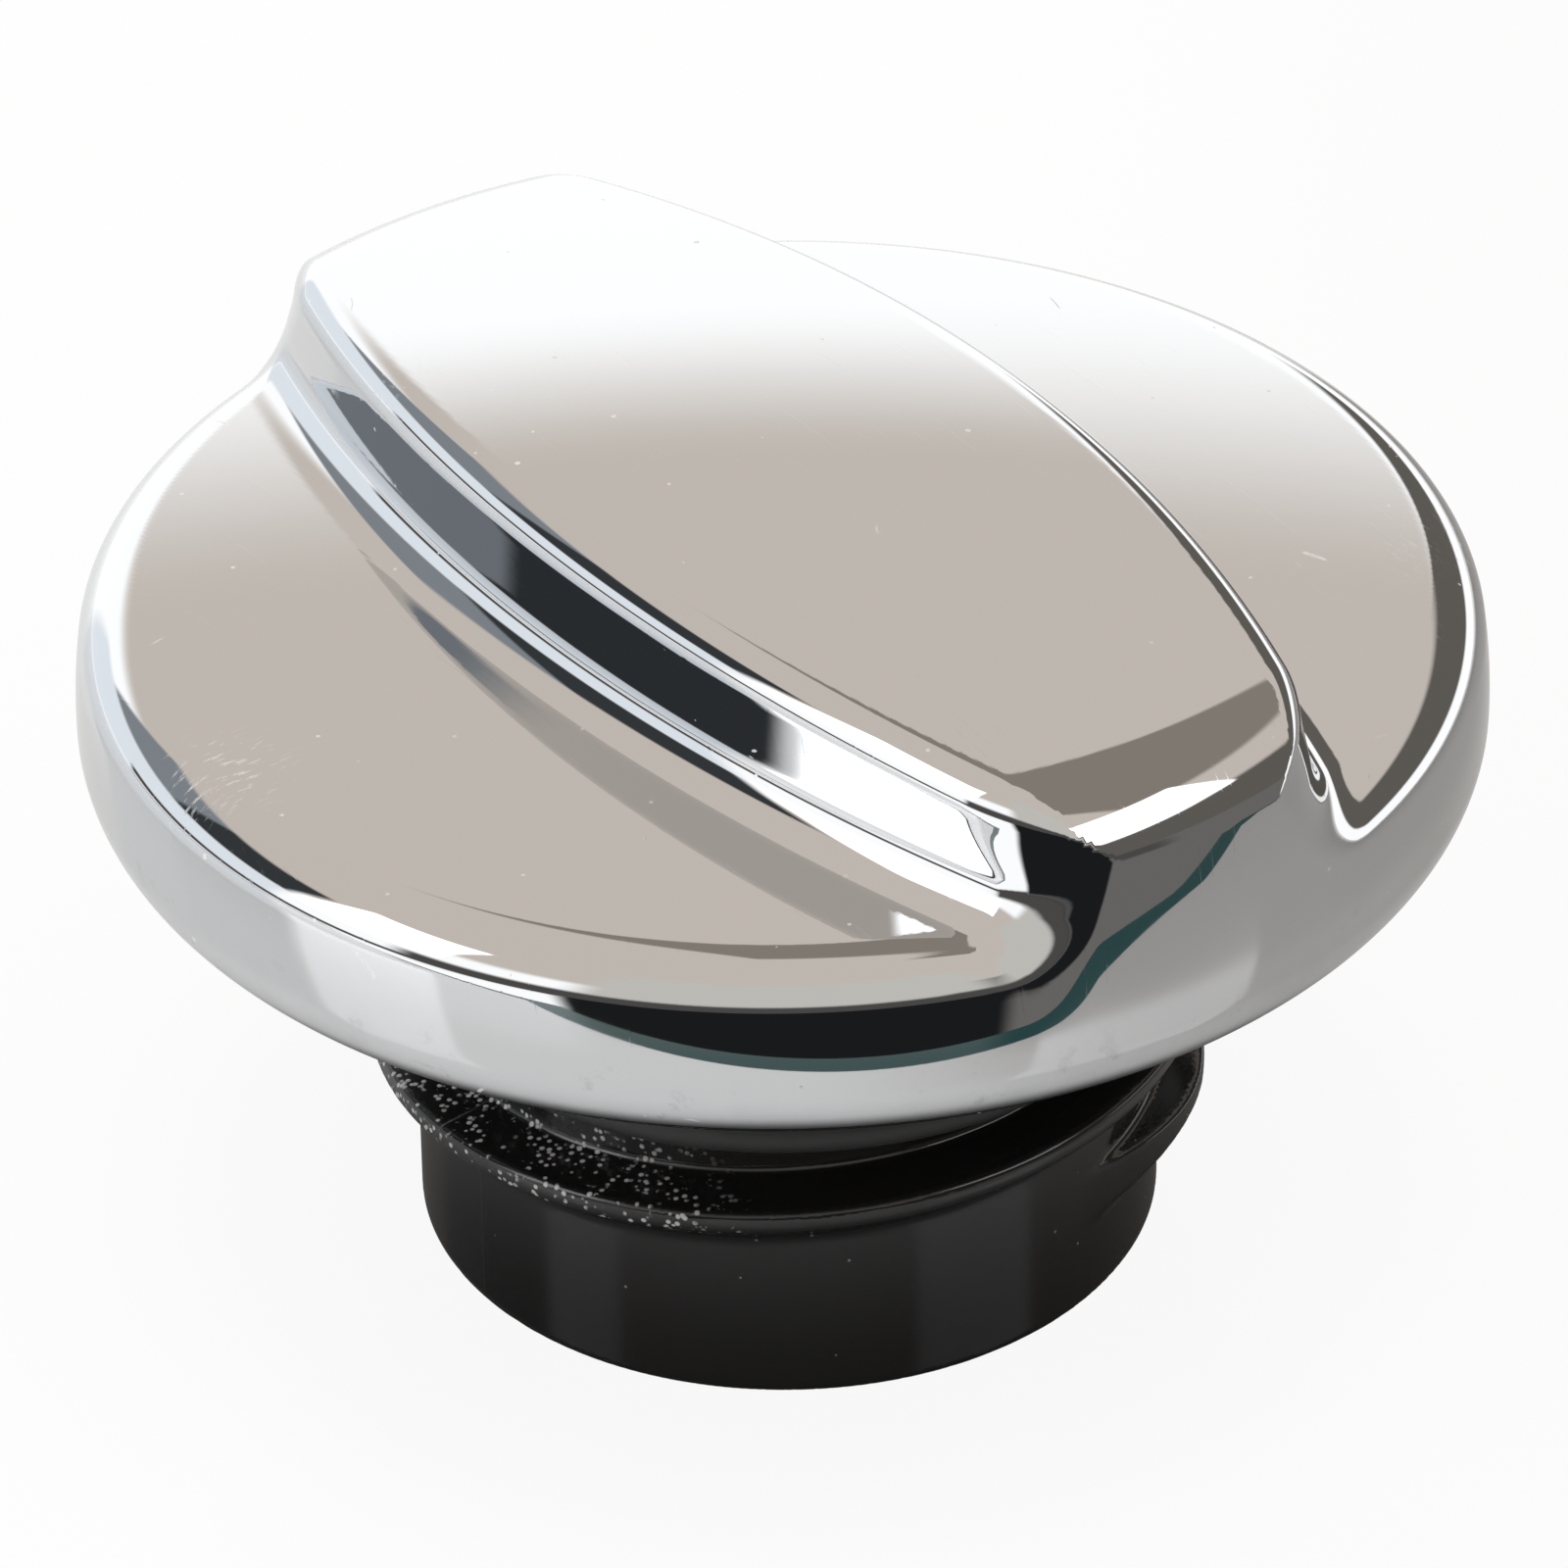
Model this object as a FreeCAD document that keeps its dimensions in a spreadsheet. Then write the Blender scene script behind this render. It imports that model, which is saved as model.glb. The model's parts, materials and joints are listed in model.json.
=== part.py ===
import FreeCAD, Part
import math
import os
import Sketcher

# A screw-in deck fill cap for a boat's fuel tank: a chromed cover with a grip bar turns a
# threaded plug through a torque-limiting ratchet, and a pressure and vacuum vent valve sits
# inside the plug.
#
# Frame: millimetres, +Z up along the thread, origin at the centre of the plug's bottom face,
# +X along the grip bar.

DRIVING_SIZES = {
    # Cover, outside
    "cap_radius": 40.0,
    "rim_bottom": 28.9,
    "rim_bottom_round": 5.0,
    "rim_top_round": 6.8,
    "wing_height": 41.2,
    "crown_height": 49.6,
    "crown_radius": 340.0,
    "crown_edge_radius": 34.9,
    "end_roll": 4.6,
    "end_roll_radius": 39.3,
    "end_roll_height": 43.3,
    "bar_reach": 41.0,
    "bar_end_half_width": 6.4,
    "bar_side_radius": 104.0,
    "bar_top_round": 1.9,
    "trim_margin": 5.0,
    # Cover, inside
    "skirt_bore": 35.0,
    "ceiling_height": 38.4,
    "core_width": 6.4,
    "core_length": 16.0,
    "core_pitch": 8.6,
    "core_count": 5,
    "core_top": 46.4,
    "ring_groove_depth": 0.8,
    "press_gap": 0.05,
    "cut_margin": 1.0,
    # Ratchet
    "teeth": 36,
    "tooth_tip_radius": 31.6,
    "tooth_root_radius": 33.2,
    "crown_ring_bottom": 33.7,
    "pawl_count": 3,
    "pawl_pivot_radius": 27.6,
    "pawl_post": 1.5,
    "pawl_hub": 2.5,
    "pawl_nose": 2.5,
    "pawl_nose_gap": 0.6,
    "pawl_drive_gap": 1.8,
    "pawl_heel_gap": 0.4,
    "pawl_heel_teeth": 1.2,
    "pawl_arm_start": 0.6,
    "pawl_arm_inset": 0.1,
    "pawl_bottom": 33.5,
    "pawl_thickness": 2.2,
    "post_top": 37.9,
    "spring_peg": 0.9,
    "pawl_wire": 0.5,
    "pawl_coil_radius": 2.1,
    "pawl_coil_turns": 2.5,
    "pawl_coil_lift": 0.1,
    "pawl_coil_spread": 1.15,
    "pawl_arm_leg": 8.0,
    "pawl_peg_leg": 7.0,
    "peg_offset": 5.5,
    # Retaining ring, thrust washer and wave spring
    "ring_bottom": 29.9,
    "ring_thickness": 1.2,
    "ring_inner": 30.0,
    "ring_split": 6.0,
    "ring_split_margin": 2.0,
    "washer_inner": 21.3,
    "washer_outer": 24.4,
    "washer_thickness": 1.0,
    "wave_thickness": 0.6,
    "wave_count": 3,
    "wave_play": 0.1,
    "wave_inset": 0.3,
    # Plug, outside
    "pilot_radius": 21.1,
    "pilot_top": 5.0,
    "skirt_radius": 21.5,
    "skirt_top": 13.2,
    "skirt_edge": 0.5,
    "neck_radius": 20.5,
    "seal_section": 1.6,
    "seal_squeeze": 0.02,
    "flange_bottom": 20.8,
    "flange_top": 23.2,
    "flange_radius": 25.0,
    "barrel_radius": 23.2,
    # Thread
    "thread_lead": 6.75,
    "thread_turns": 1.25,
    "thread_crest": 24.2,
    "thread_start": 4.9,
    "thread_root_width": 3.9,
    "thread_crest_width": 1.2,
    "thread_upper_slope": 0.5,
    "thread_bite": 1.6,
    # Plug, inside
    "skirt_inner": 17.5,
    "baffle_seat": 11.4,
    "baffle_seat_radius": 16.5,
    "bulkhead_bottom": 12.0,
    "bulkhead_top": 15.0,
    "seat_hole": 8.0,
    "valve_bore": 14.0,
    "retainer_seat": 27.5,
    "retainer_bore": 15.4,
    "core_hole": 1.8,
    "core_hole_circle": 18.6,
    "core_hole_depth": 9.0,
    # Pawl carrier and its screws
    "carrier_bottom": 31.4,
    "carrier_thickness": 2.0,
    "carrier_radius": 31.6,
    "carrier_bore": 13.0,
    "screw_count": 4,
    "screw_circle": 18.2,
    "screw_radius": 1.4,
    "screw_head": 2.6,
    "screw_head_height": 1.4,
    "screw_length": 9.0,
    "screw_slot": 0.7,
    # Vent valve
    "seat_seal_inner": 8.2,
    "seat_seal_outer": 11.8,
    "seat_seal_thickness": 1.2,
    "disc_radius": 11.0,
    "disc_thickness": 1.4,
    "disc_hub": 6.0,
    "disc_hub_wall": 1.2,
    "disc_hub_height": 1.2,
    "disc_port": 0.7,
    "disc_port_circle": 3.3,
    "disc_port_count": 6,
    "pressure_coil_radius": 8.2,
    "pressure_wire": 1.0,
    "pressure_turns": 4.5,
    "retainer_thickness": 1.5,
    "retainer_rim": 1.8,
    "retainer_vent": 1.6,
    "retainer_vent_circle": 9.5,
    "retainer_vent_count": 6,
    "retainer_hole": 3.0,
    "stem_radius": 1.5,
    "stem_clearance": 0.06,
    "stem_top": 24.0,
    "stem_head": 5.2,
    "stem_head_thickness": 0.8,
    "vacuum_seal_outer": 5.0,
    "vacuum_seal_thickness": 0.8,
    "vacuum_coil_radius": 2.7,
    "vacuum_wire": 0.5,
    "vacuum_turns": 5.0,
    "clip_bottom": 22.5,
    "clip_thickness": 0.6,
    "clip_radius": 3.5,
    "clip_groove": 0.4,
    "clip_mouth": 0.88,
    "baffle_thickness": 1.2,
    "baffle_slot_width": 3.0,
    "baffle_slot_inner": 5.5,
    "baffle_slot_outer": 13.5,
    "baffle_slot_count": 6,
}

FULL_TURN = 360.0

doc = FreeCAD.newDocument("DeckFillCap")
sheet = doc.addObject("Spreadsheet::Sheet", "Sizes")
for row, (alias, number) in enumerate(DRIVING_SIZES.items(), start=1):
    sheet.set("A%d" % row, alias)
    sheet.set("B%d" % row, str(number))
    sheet.setAlias("B%d" % row, alias)
doc.recompute()


class Size:
    """A length from the sheet, or a sum or product of them, with the expression that gives it."""

    def __init__(self, value, text):
        self.value = value
        self.text = text

    def __add__(self, other):
        other = as_size(other)
        return Size(self.value + other.value, "(%s + %s)" % (self.text, other.text))

    def __sub__(self, other):
        other = as_size(other)
        return Size(self.value - other.value, "(%s - %s)" % (self.text, other.text))

    def __mul__(self, other):
        other = as_size(other)
        return Size(self.value * other.value, "(%s * %s)" % (self.text, other.text))

    def __truediv__(self, other):
        other = as_size(other)
        return Size(self.value / other.value, "(%s / %s)" % (self.text, other.text))

    def __neg__(self):
        return Size(-self.value, "(0 - %s)" % self.text)


def as_size(number):
    if isinstance(number, Size):
        return number
    return Size(float(number), repr(float(number)))


def size(alias):
    """The sheet's cell of that name."""
    return Size(float(sheet.get(alias)), "Sizes.%s" % alias)


def root(number):
    return Size(math.sqrt(number.value), "sqrt(%s)" % number.text)


def polar(radius, angle):
    """The point at a radius and an angle in degrees, as two sizes."""
    radius = as_size(radius)
    angle = as_size(angle)
    across = Size(math.cos(math.radians(angle.value)), "cos(%s)" % angle.text)
    along = Size(math.sin(math.radians(angle.value)), "sin(%s)" % angle.text)
    return radius * across, radius * along


def vector(point, height=0.0):
    return FreeCAD.Vector(point[0].value, point[1].value, as_size(height).value)


# ---- Sketches -----------------------------------------------------------------------------

def new_body(label):
    body = doc.addObject("PartDesign::Body", label)
    body.Label = label
    return body


def new_sketch(body, name, plane="XZ_Plane", height=None):
    """A sketch on one of the body's own origin planes, lifted along its normal by height."""
    sketch = body.newObject("Sketcher::SketchObject", "%s_%s" % (body.Name, name))
    support = [item for item in body.Origin.OriginFeatures if item.Role == plane][0]
    sketch.AttachmentSupport = (support, [""])
    sketch.MapMode = "FlatFace"
    if height is not None:
        height = as_size(height)
        sketch.AttachmentOffset = FreeCAD.Placement(FreeCAD.Vector(0, 0, height.value), FreeCAD.Rotation())
        sketch.setExpression(".AttachmentOffset.Base.z", height.text)
    return sketch


def bind(sketch, kind, *arguments):
    """Adds a dimension whose last argument is a size, bound to the size's expression."""
    length = as_size(arguments[-1])
    index = sketch.addConstraint(Sketcher.Constraint(kind, *arguments[:-1], length.value))
    if "Sizes" in length.text:
        sketch.setExpression("Constraints[%d]" % index, length.text)


def arc_between(start, end, radius, turn):
    """The short arc from start to end: turn is 1 counter-clockwise and -1 clockwise."""
    chord = end - start
    half = chord.Length / 2.0
    rise = math.sqrt(max(radius * radius - half * half, 0.0))
    left = FreeCAD.Vector(-chord.y, chord.x, 0).normalize()
    centre = (start + end) * 0.5 + left * rise * turn
    first, last = (start, end) if turn > 0 else (end, start)
    from_angle = math.atan2(first.y - centre.y, first.x - centre.x)
    to_angle = math.atan2(last.y - centre.y, last.x - centre.x)
    if to_angle < from_angle:
        to_angle += 2.0 * math.pi
    circle = Part.Circle(centre, FreeCAD.Vector(0, 0, 1), radius)
    return Part.ArcOfCircle(circle, from_angle, to_angle)


def outline(sketch, corners):
    """Draws a closed outline. A corner is (x, y), reached by a line, or (x, y, radius, turn),
    reached by an arc; the first corner's entry says how the outline closes."""
    points = [vector((as_size(corner[0]), as_size(corner[1]))) for corner in corners]
    edges = []
    for number in range(len(corners)):
        start = points[number]
        following = (number + 1) % len(corners)
        end = points[following]
        shape = corners[following][2:]
        if shape:
            turn = shape[1]
            edge = sketch.addGeometry(arc_between(start, end, as_size(shape[0]).value, turn), False)
            bind(sketch, "Radius", edge, shape[0])
            edges.append((edge, 1, 2) if turn > 0 else (edge, 2, 1))
        else:
            edge = sketch.addGeometry(Part.LineSegment(start, end), False)
            edges.append((edge, 1, 2))
    for number, (edge, start_point, _) in enumerate(edges):
        before = edges[number - 1]
        sketch.addConstraint(Sketcher.Constraint("Coincident", before[0], before[2], edge, start_point))
        bind(sketch, "DistanceX", -1, 1, edge, start_point, corners[number][0])
        bind(sketch, "DistanceY", -1, 1, edge, start_point, corners[number][1])


def circle(sketch, centre, radius):
    radius = as_size(radius)
    x, y = as_size(centre[0]), as_size(centre[1])
    ring = Part.Circle(vector((x, y)), FreeCAD.Vector(0, 0, 1), radius.value)
    edge = sketch.addGeometry(ring, False)
    bind(sketch, "DistanceX", -1, 1, edge, 3, x)
    bind(sketch, "DistanceY", -1, 1, edge, 3, y)
    bind(sketch, "Radius", edge, radius)


# ---- Features -----------------------------------------------------------------------------

def feature(body, kind, name, sketch):
    made = body.newObject("PartDesign::%s" % kind, "%s_%s" % (body.Name, name))
    made.Profile = sketch
    sketch.Visibility = False
    return made


def turned(body, name, corners, kind="Revolution"):
    """A full turn of a half section about Z: the corners are (radius, height)."""
    sketch = new_sketch(body, name + "_section")
    outline(sketch, corners)
    made = feature(body, kind, name, sketch)
    made.ReferenceAxis = (sketch, ["V_Axis"])
    made.Angle = FULL_TURN
    return made


def raised(body, name, sketch, length):
    made = feature(body, "Pad", name, sketch)
    made.setExpression("Length", as_size(length).text)
    return made


def cut(body, name, sketch, length=None, upward=False):
    """A pocket below the sketch, or above it where upward is set; right through by default."""
    doc.recompute()
    before = body.Shape.Volume
    made = feature(body, "Pocket", name, sketch)
    made.Reversed = upward
    if length is None:
        made.Type = "ThroughAll"
    else:
        made.setExpression("Length", as_size(length).text)
    doc.recompute()
    if made.Shape.Volume >= before:
        raise RuntimeError("%s cuts nothing" % made.Name)
    return made


def around(body, name, original, sketch, count):
    """Copies of a feature spaced evenly about the sketch's normal."""
    made = body.newObject("PartDesign::PolarPattern", "%s_%s" % (body.Name, name))
    made.Originals = [original]
    made.Axis = (sketch, ["N_Axis"])
    made.Angle = FULL_TURN
    made.setExpression("Occurrences", as_size(count).text)
    body.Tip = made
    return made


def coil(body, name, mean_radius, wire, bottom, top, turns):
    """A round-wire spring about Z whose wire stays between bottom and top."""
    sketch = new_sketch(body, name + "_wire")
    circle(sketch, (mean_radius, bottom + wire / 2.0), wire / 2.0)
    made = feature(body, "AdditiveHelix", name, sketch)
    made.ReferenceAxis = (sketch, ["V_Axis"])
    made.Mode = "height-turns-angle"
    made.setExpression("Height", (top - bottom - wire).text)
    made.setExpression("Turns", as_size(turns).text)
    return made


def ring(label, inner, outer, bottom, top):
    """A plain ring about Z with a square section."""
    body = new_body(label)
    turned(body, "Ring", [(inner, bottom), (outer, bottom), (outer, top), (inner, top)])
    return body


def round_edges(body, name, base, radius, wanted):
    """Rounds those edges of a feature whose bounding box passes the test."""
    doc.recompute()
    names = []
    for number, edge in enumerate(base.Shape.Edges, start=1):
        if wanted(edge.BoundBox):
            names.append("Edge%d" % number)
    made = body.newObject("PartDesign::Fillet", "%s_%s" % (body.Name, name))
    made.Base = (base, names)
    made.setExpression("Radius", "Sizes.%s" % radius)
    doc.recompute()
    return made


def turn_about_axis(body, angle):
    body.Placement = FreeCAD.Placement(FreeCAD.Vector(), FreeCAD.Rotation(FreeCAD.Vector(0, 0, 1), angle))


# ---- Shared levels ------------------------------------------------------------------------

carrier_top = size("carrier_bottom") + size("carrier_thickness")
pawl_top = size("pawl_bottom") + size("pawl_thickness")
washer_top = carrier_top + size("washer_thickness")
seat_seal_top = size("bulkhead_top") + size("seat_seal_thickness")
disc_top = seat_seal_top + size("disc_thickness")
retainer_floor = size("retainer_seat") + size("retainer_thickness")
vacuum_seal_bottom = seat_seal_top - size("vacuum_seal_thickness")
baffle_bottom = size("baffle_seat") - size("baffle_thickness")
tooth_pitch = as_size(FULL_TURN) / size("teeth")


# ---- Cover --------------------------------------------------------------------------------

def make_cover_shell():
    """Round cap with a rolled rim and a domed grip bar, hollow below for the ratchet."""
    body = new_body("cover_shell")
    groove_wall = size("skirt_bore") + size("ring_groove_depth")
    ring_bottom = size("ring_bottom")
    ring_top = ring_bottom + size("ring_thickness")
    cap = size("cap_radius")
    side_bottom = size("rim_bottom") + size("rim_bottom_round")
    side_top = size("wing_height") - size("rim_top_round")
    turned(body, "Rim", [
        (0, size("ceiling_height")),
        (size("skirt_bore"), size("ceiling_height")),
        (size("skirt_bore"), ring_top),
        (groove_wall, ring_top),
        (groove_wall, ring_bottom),
        (size("skirt_bore"), ring_bottom),
        (size("skirt_bore"), size("rim_bottom")),
        (cap, side_bottom, size("rim_bottom_round"), 1),
        (cap, side_top),
        (cap - size("rim_top_round"), size("wing_height"), size("rim_top_round"), 1),
        (0, size("wing_height")),
    ])

    # The bar's sides are two long arcs; its ends run past the rim and are trimmed below.
    plan = new_sketch(body, "Bar_plan", "XY_Plane", size("ceiling_height"))
    reach = size("bar_reach")
    end = size("bar_end_half_width")
    side = size("bar_side_radius")
    outline(plan, [
        (-reach, -end),
        (reach, -end, side, 1),
        (reach, end),
        (-reach, end, side, 1),
    ])
    above = size("crown_height") + size("trim_margin")
    raised(body, "Bar", plan, above - size("ceiling_height"))

    # One dome trims the bar's top, its rolled ends and its end faces.
    outside = reach + reach
    dome = size("crown_radius")
    edge_radius = size("crown_edge_radius")
    edge_height = size("crown_height") - dome + root(dome * dome - edge_radius * edge_radius)
    trimmed_above = above + size("trim_margin")
    turned(body, "Dome", [
        (0, size("crown_height")),
        (edge_radius, edge_height, dome, -1),
        (size("end_roll_radius"), size("end_roll_height"), size("end_roll"), -1),
        (cap, side_top),
        (outside, side_top),
        (outside, trimmed_above),
        (0, trimmed_above),
    ], "Groove")
    doc.recompute()

    # Coring pockets keep the bar's wall even where it is thickest.
    pocket_plan = new_sketch(body, "Core_plan", "XY_Plane", size("ceiling_height"))
    half_length = size("core_length") / 2.0
    first = -(size("core_pitch") * (size("core_count") - 1.0) / 2.0)
    left = first - size("core_width") / 2.0
    right = first + size("core_width") / 2.0
    outline(pocket_plan, [
        (left, -half_length),
        (right, -half_length),
        (right, half_length),
        (left, half_length),
    ])
    core = cut(body, "Core", pocket_plan, size("core_top") - size("ceiling_height"), upward=True)
    row = body.newObject("PartDesign::LinearPattern", "cover_shell_Cores")
    row.Originals = [core]
    row.Direction = (pocket_plan, ["H_Axis"])
    row.setExpression("Length", (size("core_pitch") * (size("core_count") - 1.0)).text)
    row.setExpression("Occurrences", size("core_count").text)
    body.Tip = row
    round_edges(body, "BarTop", row, "bar_top_round", is_bar_top)
    return body


def is_bar_top(box):
    runs_along_bar = box.XLength > DRIVING_SIZES["cap_radius"]
    bowed = box.YLength > DRIVING_SIZES["bar_top_round"]
    return runs_along_bar and bowed and box.ZMin > DRIVING_SIZES["core_top"]


def make_ratchet_crown():
    """Ring of inward saw teeth fixed in the cover: radial faces drive, slopes slip."""
    body = ring("ratchet_crown", size("tooth_tip_radius"), size("skirt_bore") - size("press_gap"),
                size("crown_ring_bottom"), size("ceiling_height"))
    plan = new_sketch(body, "Gap_plan", "XY_Plane", size("ceiling_height"))
    inside = size("tooth_tip_radius") - size("cut_margin")
    tip = polar(size("tooth_tip_radius"), tooth_pitch)
    outline(plan, [
        (inside, 0),
        (size("tooth_root_radius"), 0),
        tip,
        polar(inside, tooth_pitch),
    ])
    gap = cut(body, "Gap", plan)
    around(body, "Gaps", gap, plan, size("teeth"))
    return body


def make_retaining_ring():
    """Split ring sprung into the cover's groove, under the carrier's edge."""
    body = ring("retaining_ring", size("ring_inner"), size("skirt_bore") + size("ring_groove_depth"),
                size("ring_bottom"), size("ring_bottom") + size("ring_thickness"))
    plan = new_sketch(body, "Split_plan", "XY_Plane", size("ring_bottom") + size("ring_thickness"))
    half = size("ring_split") / 2.0
    outline(plan, [
        (-half, size("ring_inner") - size("ring_split_margin")),
        (half, size("ring_inner") - size("ring_split_margin")),
        (half, size("cap_radius")),
        (-half, size("cap_radius")),
    ])
    cut(body, "Split", plan)
    return body


# ---- Plug ---------------------------------------------------------------------------------

def make_plug_body():
    """Threaded plug: open skirt below, bulkhead with the valve hole, barrel above."""
    body = new_body("plug_body")
    edge = size("skirt_edge")
    turned(body, "Wall", [
        (size("skirt_inner"), 0),
        (size("pilot_radius") - edge, 0),
        (size("pilot_radius"), edge, edge, 1),
        (size("pilot_radius"), size("pilot_top")),
        (size("skirt_radius"), size("pilot_top")),
        (size("skirt_radius"), size("skirt_top")),
        (size("neck_radius"), size("skirt_top") + edge),
        (size("neck_radius"), size("flange_bottom")),
        (size("flange_radius"), size("flange_bottom")),
        (size("flange_radius"), size("flange_top")),
        (size("barrel_radius"), size("flange_top")),
        (size("barrel_radius"), size("carrier_bottom")),
        (size("retainer_bore"), size("carrier_bottom")),
        (size("retainer_bore"), size("retainer_seat")),
        (size("valve_bore"), size("retainer_seat")),
        (size("valve_bore"), size("bulkhead_top")),
        (size("seat_hole"), size("bulkhead_top")),
        (size("seat_hole"), size("bulkhead_bottom")),
        (size("baffle_seat_radius"), size("bulkhead_bottom")),
        (size("baffle_seat_radius"), size("baffle_seat")),
        (size("skirt_inner"), size("baffle_seat")),
    ])

    # The thread's upper side is nearly flat and its lower side slopes back to the root.
    section = new_sketch(body, "Thread_section")
    root = size("neck_radius") - size("thread_bite")
    foot = size("thread_start")
    crest_top = foot + size("thread_root_width") - size("thread_upper_slope")
    outline(section, [
        (root, foot),
        (size("thread_crest"), crest_top - size("thread_crest_width")),
        (size("thread_crest"), crest_top),
        (root, foot + size("thread_root_width")),
    ])
    thread = feature(body, "AdditiveHelix", "Thread", section)
    thread.ReferenceAxis = (section, ["V_Axis"])
    thread.Mode = "pitch-turns-angle"
    thread.setExpression("Pitch", "Sizes.thread_lead")
    thread.setExpression("Turns", "Sizes.thread_turns")
    doc.recompute()

    screw_plan = new_sketch(body, "Screw_plan", "XY_Plane", size("carrier_bottom"))
    circle(screw_plan, (size("screw_circle"), 0), size("screw_radius"))
    pilot = cut(body, "Pilot", screw_plan, size("screw_length"))
    around(body, "Pilots", pilot, screw_plan, size("screw_count"))

    core_plan = new_sketch(body, "Core_plan", "XY_Plane", size("carrier_bottom"))
    circle(core_plan, polar(size("core_hole_circle"), as_size(FULL_TURN) / size("screw_count") / 2.0),
           size("core_hole"))
    core = cut(body, "Core", core_plan, size("core_hole_depth"))
    around(body, "Cores", core, core_plan, size("screw_count"))
    return body


def make_main_seal():
    """O-ring round the plug's neck, under the flange."""
    seal = doc.addObject("Part::Torus", "main_seal")
    seal.Label = "main_seal"
    squeezed = size("seal_section") - size("seal_squeeze")
    seal.setExpression("Radius1", (size("neck_radius") + size("seal_section")).text)
    seal.setExpression("Radius2", squeezed.text)
    seal.setExpression("Placement.Base.z", (size("flange_bottom") - size("seal_section")).text)
    return seal


def make_pawl_carrier():
    """Plate on top of the plug with a post for each pawl and a peg for its spring."""
    body = ring("pawl_carrier", size("carrier_bore"), size("carrier_radius"),
                size("carrier_bottom"), carrier_top)
    post_plan = new_sketch(body, "Post_plan", "XY_Plane", carrier_top)
    circle(post_plan, (size("pawl_pivot_radius"), 0), size("pawl_post"))
    post = raised(body, "Post", post_plan, size("post_top") - carrier_top)
    around(body, "Posts", post, post_plan, size("pawl_count"))
    peg_plan = new_sketch(body, "Peg_plan", "XY_Plane", carrier_top)
    circle(peg_plan, peg_centre(), size("spring_peg"))
    peg = raised(body, "Peg", peg_plan, size("post_top") - carrier_top)
    around(body, "Pegs", peg, peg_plan, size("pawl_count"))
    doc.recompute()
    hole_plan = new_sketch(body, "Hole_plan", "XY_Plane", carrier_top)
    circle(hole_plan, (size("screw_circle"), 0), size("screw_radius"))
    hole = cut(body, "Hole", hole_plan)
    around(body, "Holes", hole, hole_plan, size("screw_count"))
    return body


def peg_centre():
    """The spring's outer leg runs tangentially from the coil and bears on this peg."""
    return (size("pawl_pivot_radius") + size("pawl_coil_radius") - size("pawl_wire") / 2.0
            - size("spring_peg"), size("peg_offset"))


def make_carrier_screws():
    """Four slotted cheese-head screws that hold the carrier down on the plug."""
    screws = []
    step = FULL_TURN / DRIVING_SIZES["screw_count"]
    slot_reach = size("screw_head") + size("cut_margin")
    for number in range(int(DRIVING_SIZES["screw_count"])):
        shank = doc.addObject("Part::Cylinder", "screw_shank")
        shank.setExpression("Radius", "Sizes.screw_radius")
        shank.setExpression("Height", "Sizes.screw_length + Sizes.carrier_thickness")
        shank.setExpression("Placement.Base.z", "Sizes.carrier_bottom - Sizes.screw_length")
        head = doc.addObject("Part::Cylinder", "screw_head")
        head.setExpression("Radius", "Sizes.screw_head")
        head.setExpression("Height", "Sizes.screw_head_height")
        head.setExpression("Placement.Base.z", carrier_top.text)
        slot = doc.addObject("Part::Box", "screw_slot")
        slot.setExpression("Length", (slot_reach * 2).text)
        slot.setExpression("Width", "Sizes.screw_slot")
        slot.setExpression("Height", "Sizes.screw_head_height")
        slot.setExpression("Placement.Base.x", (-slot_reach).text)
        slot.setExpression("Placement.Base.y", "Sizes.screw_slot / -2")
        slot.setExpression("Placement.Base.z", (carrier_top + size("screw_head_height") / 2.0).text)
        blank = doc.addObject("Part::Fuse", "screw_blank")
        blank.Base = shank
        blank.Tool = head
        screw = doc.addObject("Part::Cut", "screw")
        screw.Base = blank
        screw.Tool = slot
        place = vector(polar(size("screw_circle"), number * step))
        screw.Placement = FreeCAD.Placement(place, FreeCAD.Rotation(FreeCAD.Vector(0, 0, 1), number * step))
        screws.append(screw)
    group = doc.addObject("Part::Compound", "carrier_screws")
    group.Label = "carrier_screws"
    group.Links = screws
    return group


# ---- Ratchet pawls ------------------------------------------------------------------------

def make_pawl(number):
    """Pawl that hangs back from its post, so that the driving tooth pushes along its length."""
    body = new_body("pawl_%d" % (number + 1))
    hub_plan = new_sketch(body, "Hub_plan", "XY_Plane", size("pawl_bottom"))
    pivot = size("pawl_pivot_radius")
    circle(hub_plan, (pivot, 0), size("pawl_hub"))
    raised(body, "Hub", hub_plan, size("pawl_thickness"))
    arm_plan = new_sketch(body, "Arm_plan", "XY_Plane", size("pawl_bottom"))
    drive_angle = -(tooth_pitch * 2.0) + size("pawl_drive_gap")
    nose = size("tooth_root_radius") - size("pawl_nose_gap")
    half_width = size("pawl_hub") - size("pawl_arm_inset")
    start = -size("pawl_arm_start")
    outline(arm_plan, [
        (pivot - half_width, start),
        polar(nose - size("pawl_nose"), drive_angle),
        polar(nose, drive_angle),
        polar(size("tooth_tip_radius") - size("pawl_heel_gap"), -(tooth_pitch * size("pawl_heel_teeth"))),
        (pivot + half_width, start),
    ])
    raised(body, "Arm", arm_plan, size("pawl_thickness"))
    doc.recompute()
    bore_plan = new_sketch(body, "Bore_plan", "XY_Plane", pawl_top)
    circle(bore_plan, (pivot, 0), size("pawl_post") + size("stem_clearance"))
    cut(body, "Bore", bore_plan)
    turn_about_axis(body, number * FULL_TURN / DRIVING_SIZES["pawl_count"])
    return body


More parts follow.
